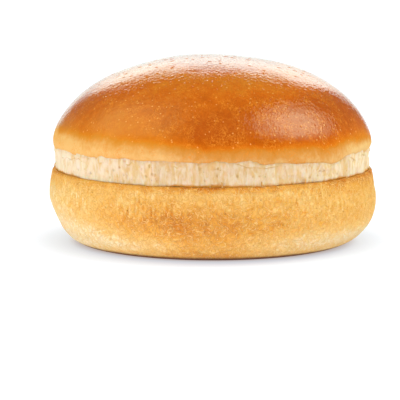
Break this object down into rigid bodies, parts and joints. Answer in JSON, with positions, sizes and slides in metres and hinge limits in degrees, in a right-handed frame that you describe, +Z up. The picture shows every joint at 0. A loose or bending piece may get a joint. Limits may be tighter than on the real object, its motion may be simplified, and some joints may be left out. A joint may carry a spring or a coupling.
{
  "type": "hamburger bun",
  "caption": "Round sliced bread bun: a glossy caramel-brown domed crown with a pale torn side, resting on a deep golden heel.",
  "frame": {"origin": "on the plane that the heel rests on, under the centre of the bun's bounding box", "axes": "+Z up through the top of the crown, -Y towards the front, +X to the right"},
  "size_m": [0.1028, 0.102, 0.059],
  "materials": {
    "crown_crust": "gloss",
    "heel_crust": "matte"
  },
  "bodies": {
    "root": {"crown": "crown_crust", "heel": "heel_crust"}
  },
  "joints": []
}
